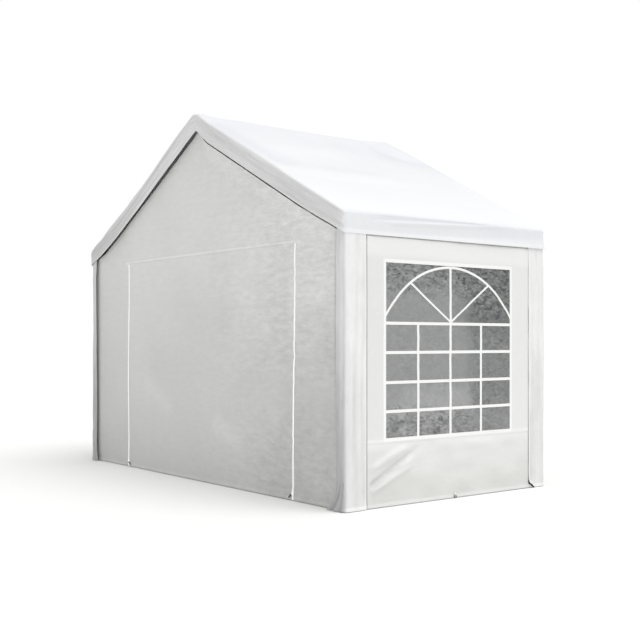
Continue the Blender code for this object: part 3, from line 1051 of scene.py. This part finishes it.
def make_gable_wall(name, slits, right_end):
    """A front wall that stops this far below the roof at the slit places, and at this x."""
    right_part = stations(
        0, (JAMB, 0.018), (right_end - 0.014, 0.015), (right_end - 0.012, 0.002), (right_end, 0.012)
    )
    across = np.concatenate((-left_part, right_part[1:]))
    wall = lay_cloth(name, across, np.concatenate((door_rows, upper_rows[1:])))
    cut_out(wall, lambda x, z: (np.abs(x) < JAMB) & (z < HEAD))
    flat = read_points(wall)
    wall_top = roof_top(flat[:, 0]) - np.interp(flat[:, 0], SLIT_PLACES, slits)
    share = np.maximum((flat[:, 1] - SEAM_TOP) / (NOMINAL_TOP - SEAM_TOP), 0)
    flat[:, 1] = np.where(share > 0, SEAM_TOP + share * (wall_top - SEAM_TOP), flat[:, 1])
    write_points(wall, flat)
    x, z = keep_flat_map(wall)
    lift, hem = stand_gable(wall, x, z, right_end)
    if right_end < WALL_HALF:
        inside = np.minimum(right_end - x, np.where(x > 0, (wall_top - z) / ALONG, EDGE_BEND))
        lift += EDGE_FORWARD * ease(1 - inside / EDGE_BEND) * ease(x / 0.12)
        lift += EDGE_FORWARD * ease(1 - (WALL_HALF + x) / EDGE_BEND)
    over_door = (z > HEAD - 0.001) & (z < SEAM_TOP - 0.001) & (np.abs(x) < JAMB + 0.045)
    slope_hem = wall_top - z < 0.020
    y = GABLE_Y - lift - 0.0014 * over_door
    write_points(wall, np.column_stack((x + drawn_aside(x, z), y, z)))
    paint(wall, hem=np.maximum(hem, np.maximum(0.5 * over_door, 0.3 * slope_hem)))
    finish_cloth(wall, shaded_gable_finish)
    return wall


gable_wall = make_gable_wall("gable_wall_cloth_front", SLIT_FRONT, WALL_RIGHT)
rear_wall = make_gable_wall("gable_wall_cloth_rear", SLIT_REAR, WALL_HALF)
turn_round(rear_wall)
print("gable wall:", len(gable_wall.data.polygons), "faces")

# %% [markdown]
# The door takes the wall's stations between the zips, so its waves run on across them.

# %% Door
DOOR_HALF = zip_low.x - 0.0003
WELT = 0.012

inner = np.concatenate((-left_part, stations(0, (JAMB, 0.018))[1:]))
inner = inner[np.abs(inner) < DOOR_HALF - 0.016]
door_across = np.concatenate((
    [-DOOR_HALF, -DOOR_HALF + WELT], inner, [DOOR_HALF - WELT, DOOR_HALF]
))
door = lay_cloth("door_cloth_front", door_across, np.append(door_rows[:-1], HEAD - 0.0006))
door_x, door_z = keep_flat_map(door)
lift, hem = stand_gable(door, door_x, door_z, WALL_RIGHT)
write_points(door, np.column_stack((door_x + drawn_aside(door_x, door_z), GABLE_Y - lift, door_z)))
paint(door, hem=hem)
finish_cloth(door, shaded_gable_finish)
print("door:", len(door.data.polygons), "faces")

# %% [markdown]
# Walls and doors of both gables ride on the frame's root, and their solids are hidden.

# %% Hand over walls and doors
rear_leaf = turned_copy(door, "door_cloth_rear")
for end, wall, leaf, slit_right, right_end in (
    ("front", gable_wall, door, SLIT_RIGHT, WALL_RIGHT),
    ("rear", rear_wall, rear_leaf, SLIT_LEFT, WALL_HALF),
):
    hand_over(wall, "wall_cloth", f"gable_wall_{end}")
    hand_over(leaf, "wall_cloth", f"door_{end}")

# %% [markdown]
# Each zip is a white woven tape with a chain of moulded teeth, a slider near the ground and a dark
# pull. One tooth is modelled and repeated by an array, and the whole chain follows the waves of
# the panel, so it shows as a slightly unsteady white line.


# %% Plastic finishes
def plain_finish(name, colour, roughness, grain, metallic=0.0, scale=60.0, painted_glow=0.0):
    """A moulded or metal finish whose colour and roughness vary a little. Its glow is painted light."""
    finish, tree, surface = new_finish(name)
    place = add_node(tree, "TexCoord")["Object"]
    speckle = noise(tree, place, scale)["Fac"]
    darker = tuple(c * (1 - grain) for c in colour)
    relief_feeds = [("Height", speckle), ("Distance", 0.0002), ("Strength", 0.5)]
    relief = add_node(tree, "Bump", relief_feeds)["Normal"]
    feed(tree, surface, [
        ("Base Color", mixed(tree, speckle, (*darker, 1), (*colour, 1))),
        ("Roughness", maths(tree, "MULTIPLY_ADD", speckle, 0.2, roughness - 0.1)),
        ("Metallic", metallic), ("Emission Color", (*colour, 1)), ("Emission Strength", painted_glow),
        ("Normal", relief),
    ])
    return finish


zip_tape_finish = plain_finish("zip_tape_finish", (0.88, 0.88, 0.87), 0.6, 0.08, scale=240.0)
# The teeth glow with painted light, so that the zips read as bright white lines.
zip_teeth_finish = plain_finish("zip_teeth_finish", (0.97, 0.97, 0.96), 0.35, 0.05, painted_glow=0.36)
dark_finish = plain_finish("dark_pull_finish", (0.07, 0.07, 0.075), 0.5, 0.4)
# The bars glow faintly with painted light.
lattice_finish = plain_finish("window_bar_finish", (0.92, 0.92, 0.91), 0.38, 0.06, painted_glow=0.05)
print("plastic finishes ready")

# %% [markdown]
# One block serves for a tooth, a slider and a pull. The zip is built flat and then pushed out by
# the panel's own rule.


# %% Small parts of a zip
def add_block(name, size, middle, bevel=0.0):
    """A block of this size with its edges rounded."""
    deselect()
    bpy.ops.mesh.primitive_cube_add(size=1, location=middle, scale=size)
    block = bpy.context.object
    block.name = name
    bpy.ops.object.transform_apply(location=True, rotation=True, scale=True)
    if bevel:
        apply_modifier(block, "BEVEL", "rounding", width=bevel, segments=2, limit_method="NONE")
    return block


def follow_gable(piece, proud):
    """Pushes a piece out so that it lies on the waving panel, and lets it wander a little."""
    points = read_points(piece)
    x, z = points[:, 0].copy(), points[:, 2]
    waves, _ = gable_waves(x, z)
    points[:, 0] += drawn_aside(x, z) + 0.0022 * crumple(z, 0.0, 0.22, 1.0, 41) * ease(z / 0.2)
    points[:, 1] -= waves * ease((z - HEM_FOOT) / 0.10) + proud
    write_points(piece, points)


print("zip helpers ready")

# %% [markdown]
# The tape is a narrow sheet. Teeth, slider and pull are joined to it, so that a zip is one piece.

# %% Zip
TAPE_WIDTH = 0.025
TOOTH_PITCH = 0.004
TOOTH = (0.0105, 0.0022, 0.0028)
TOOTH_TIP = (0.7, 1, 0.6)
SLIDER = (0.013, 0.006, 0.020)
PULL = (0.012, 0.0022, 0.040)
PULL_HEIGHT = 0.052
PULL_ASIDE = 0.026
PULL_TURN = math.radians(52)
ZIP_X = (zip_low.x + zip_high.x) / 2


def make_zip(name, middle, towards_door):
    """A whole zip at this x. towards_door is -1 or 1, the side that its pull hangs to."""
    tape_across = stations(middle - TAPE_WIDTH / 2, (middle + TAPE_WIDTH / 2, 0.006))
    tape = lay_cloth(name, tape_across, stations(HEM_FOOT, (HEAD, 0.02)))
    x, z = keep_flat_map(tape)
    write_points(tape, np.column_stack((x, np.full(len(x), GABLE_Y), z)))
    apply_modifier(tape, "SOLIDIFY", "tape", thickness=0.001, offset=-1)
    wear(tape, zip_tape_finish)

    tooth = add_block(name + "_teeth", TOOTH, (middle, GABLE_Y - TOOTH[1] / 2, HEM_FOOT + TOOTH[2]))
    tip = face_middles(tooth)[:, 1] < GABLE_Y - 0.75 * TOOTH[1]
    edit_mesh(tooth, bpy.ops.transform.resize, tip, value=TOOTH_TIP)
    count = int((HEAD - HEM_FOOT - TOOTH_PITCH) / TOOTH_PITCH)
    apply_modifier(
        tooth, "ARRAY", "chain", count=count, use_relative_offset=False, use_constant_offset=True,
        constant_offset_displace=(0, 0, TOOTH_PITCH),
    )
    wear(tooth, zip_teeth_finish)

    slider = add_block(name + "_slider", SLIDER, (middle, GABLE_Y - 0.004, PULL_HEIGHT), 0.0018)
    wear(slider, zip_teeth_finish)
    pull_middle = (middle + towards_door * PULL_ASIDE, GABLE_Y - 0.0075, PULL_HEIGHT - 0.020)
    pull = add_block(name + "_pull", PULL, pull_middle, 0.0009)
    turn = {"value": towards_door * PULL_TURN, "orient_axis": "Y", "center_override": pull_middle}
    edit_mesh(pull, bpy.ops.transform.rotate, **turn)
    wear(pull, dark_finish)

    follow_gable(tape, 0.0010)
    for part in (tooth, slider, pull):
        follow_gable(part, 0.0009)
    join_to(tape, (tooth, slider, pull))
    smooth(tape, 30)
    return tape


zip_right = make_zip("zip_chain_front_right", ZIP_X, -1)
zip_left = make_zip("zip_chain_front_left", -ZIP_X, 1)
zips = {
    "front_right": zip_right,
    "front_left": zip_left,
    "rear_left": turned_copy(zip_right, "zip_chain_rear_left"),
    "rear_right": turned_copy(zip_left, "zip_chain_rear_right"),
}
for corner, chain in zips.items():
    hand_over(chain, "zip", f"zip_{corner}")
print("zips:", [len(z.data.polygons) for z in zips.values()], "faces")

# %% [markdown]
# A side wall is a sheet with a large window. Its top bends in to the eave tube, which leaves the
# dark line under the roof's edge, and its sides run in behind the leg covers. Below the window a
# seam crosses it, and the loose apron under the seam is pulled into slanting folds at one end.

# %% Waves of the side wall
SIDE_X = wall_high.x
COVER_EDGE = HALF_LENGTH - side_face
APRON_SEAM = film_low.z - 0.017
APRON_FOLDS = (
    ((-0.83, 0.110), (-0.30, 0.410), 0.022, -0.028), ((-0.85, 0.225), (-0.40, 0.425), 0.024, 0.021),
    ((-0.80, 0.095), (-0.36, 0.285), 0.018, 0.022), ((-0.62, 0.240), (-0.36, 0.310), 0.018, 0.009),
    ((0.10, 0.400), (0.42, 0.370), 0.040, 0.007), ((-0.30, 0.350), (0.10, 0.210), 0.090, -0.004),
)


def inside_film(y, z):
    """How far a place lies inside the window's edge, and below zero how far outside."""
    return np.minimum(
        np.minimum(y - film_low.y, film_high.y - y), np.minimum(z - film_low.z, film_high.z - z)
    )


def side_waves(y, z):
    """How far the side panel stands out."""
    loose = ease((COVER_EDGE - 0.016 - np.abs(y)) / 0.06)
    waves = 0.0030 * crumple(y, z, 0.50, 0.42, 51) + 0.0012 * crumple(y, z, 0.16, 0.12, 52)
    waves += ease((APRON_SEAM - 0.010 - z) / 0.05) * folds(y, z, APRON_FOLDS)
    window = ease((0.035 + inside_film(y, z)) / 0.03)
    return waves * loose * (1 - 0.75 * window) * ease((z - HEM_FOOT) / 0.05 + 0.2)


print("side wall and its seam at", brief((SIDE_X, APRON_SEAM)))

# %% [markdown]
# The grid is dense at its hem, at its seam and where it bends. The window is cut through it, and a
# slanting slot at its far lower corner lets the dark show.

# %% Side wall
BEND_START = valance_low.z - 0.010
BEND_DEPTH = 0.014
TUCKED_IN = 0.0150
SLOT_SLANT = 0.70
SLOT_RISE = 0.052
SLOT_HALF = 0.014

side_across = stations(
    wall_low.y, (-COVER_EDGE - 0.004, 0.02), (-COVER_EDGE + 0.018, 0.003), (film_low.y, 0.012),
    (film_high.y, 0.026), (COVER_EDGE - 0.014, 0.012), (COVER_EDGE + 0.004, 0.003), (wall_high.y, 0.007),
)
side_along = stations(
    HEM_FOOT, (HEM_FOOT + HEM, 0.008), (HEM_FOOT + HEM + 0.002, 0.002), (APRON_SEAM - 0.012, 0.010),
    (APRON_SEAM - 0.010, 0.002), (APRON_SEAM + 0.010, 0.010), (film_low.z, 0.007), (film_high.z, 0.026),
    (BEND_START, 0.02), (BEND_START + 0.024, 0.004), (wall_high.z, 0.02),
)


def in_opening(y, z):
    """True inside the window and inside the slot behind the far leg cover."""
    slot = np.abs(z + SLOT_SLANT * (y - COVER_EDGE) - SLOT_RISE) < SLOT_HALF
    return (inside_film(y, z) > 0) | slot & (y > COVER_EDGE)


side_wall = lay_cloth("side_wall_cloth_right", side_across, side_along)
cut_out(side_wall, in_opening)
side_y, side_z = keep_flat_map(side_wall)
lift = side_waves(side_y, side_z) - BEND_DEPTH * ease((side_z - BEND_START) / 0.022)
lift -= np.where(side_y < 0, TUCKED_IN, 0.0) * ease((np.abs(side_y) - COVER_EDGE + 0.016) / 0.013)
side_hem = (side_z < HEM_FOOT + HEM + 0.001).astype(float)
on_seam = (np.abs(side_z - APRON_SEAM) < 0.0105).astype(float)
lift += 0.0008 * side_hem + 0.0012 * on_seam
write_points(side_wall, np.column_stack((SIDE_X + lift, side_y, side_z)))
# Painted shade: the apron darker towards the ground with painted highlights near its seam, and the wall
# lighter towards its rear end and above the window.
apron = ease((APRON_SEAM + 0.02 - side_z) / 0.04)
apron_shade = 0.04 + 0.40 * ease(1 - side_z / APRON_SEAM)
apron_shade += 0.16 * (crumple(side_y, side_z, 0.16, 0.07, 53) - ease((side_z - 0.34) / 0.08))
side_shade = 0.32 + apron * apron_shade - 0.10 * ease((side_y + 0.4) / 0.8) * (1 - apron)
side_shade -= 0.30 * ease((side_z - film_high.z - 0.01) / 0.06)
side_hem = np.maximum(0.3 * side_hem, 0.5 * on_seam)
paint(side_wall, hem=side_hem, grey=side_shade, crushed=0.25 + 0.5 * ease((APRON_SEAM - side_z) / 0.1))
finish_cloth(side_wall, side_finish)
print("side wall:", len(side_wall.data.polygons), "faces")

# %% [markdown]
# The window is clear film with white bars welded on. It never lies flat: it ripples like marbled
# glass, and what is behind it blurs. Small waves in its grid give the larger ripples and a bump
# the finer ones. Its colour is painted light: pale and calm where daylight comes from behind, dark
# with painted marbled reflections elsewhere, and noise pushes the edges of those parts about.

# %% Film finish
film_finish, film_tree, film_surface = new_finish("window_film_finish")
film_place = add_node(film_tree, "UVMap", uv_map="flat")[0]
turn = ("Rotation", (0, 0, math.radians(40)))
turned_feeds = [("Vector", film_place), turn, ("Scale", (1.0, 1.8, 1.0))]
film_turned = add_node(film_tree, "Mapping", turned_feeds)[0]
swirl = noise(film_tree, film_turned, 18.0, 3.0, 0.60, distortion=1.3)["Fac"]
wobble = noise(film_tree, film_place, 16.0, 3.0, 0.5, distortion=1.0)["Color"]
pushed_feeds = [(0, wobble), (1, (0.22, 0.22, 0.0)), (2, film_place)]
pushed = add_node(film_tree, "VectorMath", pushed_feeds, operation="MULTIPLY_ADD")
seen = add_node(film_tree, "SeparateXYZ", [(0, pushed[0])])


def rise(way, low, high, first=0.0, last=1.0):
    """A soft step along one way of the film, between low and high."""
    feeds = [
        ("Value", seen[way]), ("From Min", low), ("From Max", high), ("To Min", first), ("To Max", last),
    ]
    return add_node(film_tree, "MapRange", feeds, interpolation_type="SMOOTHSTEP")[0]


def fall(way, low, high):
    return rise(way, low, high, 1.0, 0.0)


def product(value, *others):
    for other in others:
        value = maths(film_tree, "MULTIPLY", value, other)
    return value


def total(value, *parts):
    """The value with each part added at its own strength."""
    for part, strength in parts:
        value = maths(film_tree, "MULTIPLY_ADD", part, strength, value)
    return value


lit = product(fall("X", 0.22, 0.36), fall("Y", 1.52, 1.68), rise("Y", 0.70, 0.82))
calm = product(rise("X", 0.15, 0.32), fall("Y", 1.38, 1.54))
dim = product(rise("X", 0.04, 0.30), rise("Y", 1.20, 1.45))
under = fall("Y", 0.70, 0.82)
glow_patch = product(
    rise("Y", 0.66, 0.78), fall("Y", 0.84, 0.98), rise("X", -0.62, -0.25), fall("X", 0.24, 0.38)
)
# Painted light seen through the film, and painted reflections of its ripples.
painted_ripple_light = total(2.35, (lit, -1.75), (calm, -1.2))
painted_light = total(0.525, (lit, 0.215), (dim, -0.20), (calm, -0.04), (under, 0.12), (glow_patch, 0.21))
painted_light = total(painted_light, (maths(film_tree, "SUBTRACT", swirl, 0.5), painted_ripple_light))
# The film's colour runs from painted shade to painted light.
FILM_DARK, FILM_LIGHT = (0.085, 0.087, 0.09, 1), (0.52, 0.523, 0.525, 1)
ripple_feeds = [("Height", swirl), ("Distance", 0.0015), ("Strength", 1.0)]
ripple = add_node(film_tree, "Bump", ripple_feeds)["Normal"]
feed(film_tree, film_surface, [
    ("Base Color", mixed(film_tree, painted_light, FILM_DARK, FILM_LIGHT)),
    ("Roughness", total(0.22, (swirl, 0.25))), ("Normal", ripple),
    ("Transmission Weight", 0.30), ("IOR", 1.45),
])
print("film finish:", len(film_tree.nodes), "nodes")

# %% [markdown]
# The film laps behind the wall all round. The bars will lie on the same face.

# %% Window film
FILM_SET_BACK = 0.0016
FILM_LAP = 0.006
FILM_STEP = 0.013


def film_face(y, z):
    """The x of the film's face."""
    ripples = 0.0016 * crumple(y, z, 0.075, 0.052, 61) + 0.0020 * crumple(y, z, 0.22, 0.30, 62)
    return SIDE_X - FILM_SET_BACK + side_waves(y, z) + ease(inside_film(y, z) / 0.05) * ripples


film_across = stations(film_low.y - FILM_LAP, (film_high.y + FILM_LAP, FILM_STEP))
film_along = stations(film_low.z - FILM_LAP, (film_high.z + FILM_LAP, FILM_STEP))
film = lay_cloth("window_film_sheet_right", film_across, film_along)
film_y, film_z = keep_flat_map(film)
write_points(film, np.column_stack((film_face(film_y, film_z), film_y, film_z)))
finish_cloth(film, film_finish, 0.0006)
print("film:", len(film.data.polygons), "faces")

# %% [markdown]
# The bars are flat white strips: four rows, four columns, and above them an arch with ribs that
# meet at the middle. A strip is a narrow grid whose rows are moved along a path, straight or
# round. Rows and columns don't stand quite evenly, and the arch flares at its feet.

# %% Window bars
BAR = 0.021
THIN_BAR = 0.0175
RIB = 0.0150
RIB_RAISED = 0.015
RIB_REACH = 0.385
BAR_LAP = 0.004
ROW_SAGS = (0.013, 0.011, 0.002, -0.003)
COLUMN_SHIFTS = (0.010, 0.006, 0.003)
SPRING = film_low.z + 0.651 * (film_high.z - film_low.z)
ARCH_RADIUS = 0.69
ARCH_FLARE = 0.014
ARCH_TOP = film_high.z - 0.014
film_width = film_high.y - film_low.y
window_middle = (film_low.y + film_high.y) / 2


def lay_strip(name, path, width):
    """A flat strip of this width along a path of flat points."""
    strip = lay_cloth(name, np.array([-width / 2, 0, width / 2]), np.arange(len(path), dtype=float))
    flat = read_points(strip)
    step = np.gradient(path, axis=0)
    step /= np.linalg.norm(step, axis=1, keepdims=True)
    row = np.rint(flat[:, 1]).astype(int)
    aside = np.stack((step[:, 1], -step[:, 0]), axis=1)
    flat[:, :2] = path[row] + flat[:, :1] * aside[row]
    write_points(strip, flat)
    return strip


def straight(start, end):
    return np.linspace(start, end, max(2, int(math.dist(start, end) / 0.02)))


bars = []
for row, sag in enumerate(ROW_SAGS, 1):
    z = film_low.z + (SPRING - film_low.z) * row / len(ROW_SAGS) - sag
    path = straight((film_low.y - BAR_LAP, z), (film_high.y + BAR_LAP, z))
    bars.append((lay_strip(f"bar_row_{row}", path, BAR), 0.0006))
for column, shift in enumerate(COLUMN_SHIFTS, 1):
    y = film_low.y + film_width * column / 4 - shift
    path = straight((y, film_low.z - BAR_LAP), (y, ARCH_TOP if column == 2 else SPRING))
    bars.append((lay_strip(f"bar_column_{column}", path, BAR), 0.0009))
half_arch = math.asin(film_width / 2 / ARCH_RADIUS)
angles = np.linspace(half_arch, -half_arch, 72)
flare = ARCH_FLARE * ease((np.abs(angles) / half_arch - 0.76) / 0.24) * np.sign(angles)
arch_y = window_middle - ARCH_RADIUS * np.sin(angles) - flare
arch_path = np.column_stack((arch_y, ARCH_TOP - ARCH_RADIUS * (1 - np.cos(angles))))
bars.append((lay_strip("bar_arch", arch_path, THIN_BAR), 0.0012))
for lean in (-1, 1):
    reach = RIB_REACH - 0.004 * lean
    foot = (window_middle - COLUMN_SHIFTS[1], SPRING + RIB_RAISED)
    tip = (window_middle + lean * reach, ARCH_TOP - ARCH_RADIUS + math.sqrt(ARCH_RADIUS**2 - reach**2))
    bars.append((lay_strip("bar_rib", straight(foot, tip), RIB), 0.0015))
print("bars:", len(bars))

# %% [markdown]
# The border is one frame round the film. Each kind of strip lies a little prouder than the one
# before, so that none share a face where they cross.

# %% Border and join
BORDER = 0.021
BORDER_IN = 0.003
BAR_PROUD = 0.0012


def border_stations(low, high):
    wide = BORDER + BORDER_IN
    return stations(
        low - BORDER, (low + BORDER_IN, wide), (high - BORDER_IN, 0.03), (high + BORDER, wide)
    )


border = lay_cloth(
    "window_bars_right", border_stations(film_low.y, film_high.y), border_stations(film_low.z, film_high.z)
)
cut_out(border, lambda y, z: inside_film(y, z) > BORDER_IN)
for bar, proud in bars + [(border, 0.0018)]:
    flat_y, flat_z = read_points(bar)[:, :2].T
    x = film_face(flat_y, flat_z) + proud + BAR_PROUD
    write_points(bar, np.column_stack((x, flat_y, flat_z)))
    apply_modifier(bar, "SOLIDIFY", "strip", thickness=0.0016, offset=-1)
    apply_modifier(bar, "BEVEL", "rounding", width=0.0004, segments=1, limit_method="ANGLE")
join_to(border, [bar for bar, _ in bars])
smooth(border, 40)
wear(border, lattice_finish)
print("window bars:", len(border.data.polygons), "faces")

# %% [markdown]
# In the middle of the side wall's lower hem sits a grey wire ring for a peg, held by a short white
# tab. A torus with three corners, widened and smoothed by subdivision, gives the low rounded
# triangle that the photograph shows.

# %% Peg ring
RING = 0.017
RING_WIDENED = 1.45
RING_PLACE = (SIDE_X + 0.008, 0.020, 0.014)
WIRE = 0.0032
TAB = (0.0022, 0.015, 0.018)
TAB_PLACE = (SIDE_X + 0.0046, 0.020, 0.036)

deselect()
bpy.ops.mesh.primitive_torus_add(
    major_segments=3, minor_segments=8, major_radius=RING, minor_radius=WIRE,
    location=RING_PLACE, rotation=(0, -math.pi / 2, 0),
)
ring = bpy.context.object
ring.name = "peg_ring_right"
ring.scale.y = RING_WIDENED
bpy.ops.object.transform_apply(location=True, rotation=True, scale=True)
apply_modifier(ring, "SUBSURF", "rounding", levels=2, render_levels=2)
wear(ring, dark_finish)
tab = add_block("peg_tab_right", TAB, TAB_PLACE, bevel=0.0008)
wear(tab, zip_tape_finish)
join_to(ring, [tab])
smooth(ring)
print("peg ring:", len(ring.data.polygons), "faces")

# %% [markdown]
# The left side repeats the right one, turned half round. Bars and ring stand for no solid.

# %% Hand over the sides
right_side = (side_wall, film, border, ring)
left_side = [turned_copy(piece, piece.name.replace("_right", "_left")) for piece in right_side]
for side, (wall, pane, lattice, loop) in (("right", right_side), ("left", left_side)):
    hand_over(wall, "wall_cloth", f"side_wall_{side}")
    hand_over(pane, "film", f"window_film_{side}")
    hand_over(lattice, "zip")
    hand_over(loop, "steel")

# %% [markdown]
# The frame shows only through the windows and under the hems. Its tubes are galvanised: dull zinc
# with faint spangle. The solids keep their shape and only get this finish.

# %% Galvanised frame
ZINC = (0.62, 0.63, 0.64)
FRAME_PARTS = (
    "leg_", "foot_plate_", "corner_fitting_", "ridge_fitting_", "rafter_", "eave_tube_", "ridge_tube"
)
galvanised = plain_finish("galvanised_tube_finish", ZINC, 0.42, 0.28, metallic=1.0, scale=38.0)
dressed = 0
for name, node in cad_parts.items():
    if name.startswith(FRAME_PARTS) and not name.startswith("leg_cover_"):
        node.data.materials.clear()
        wear(node, galvanised)
        dressed += 1
print("steel pieces:", dressed)
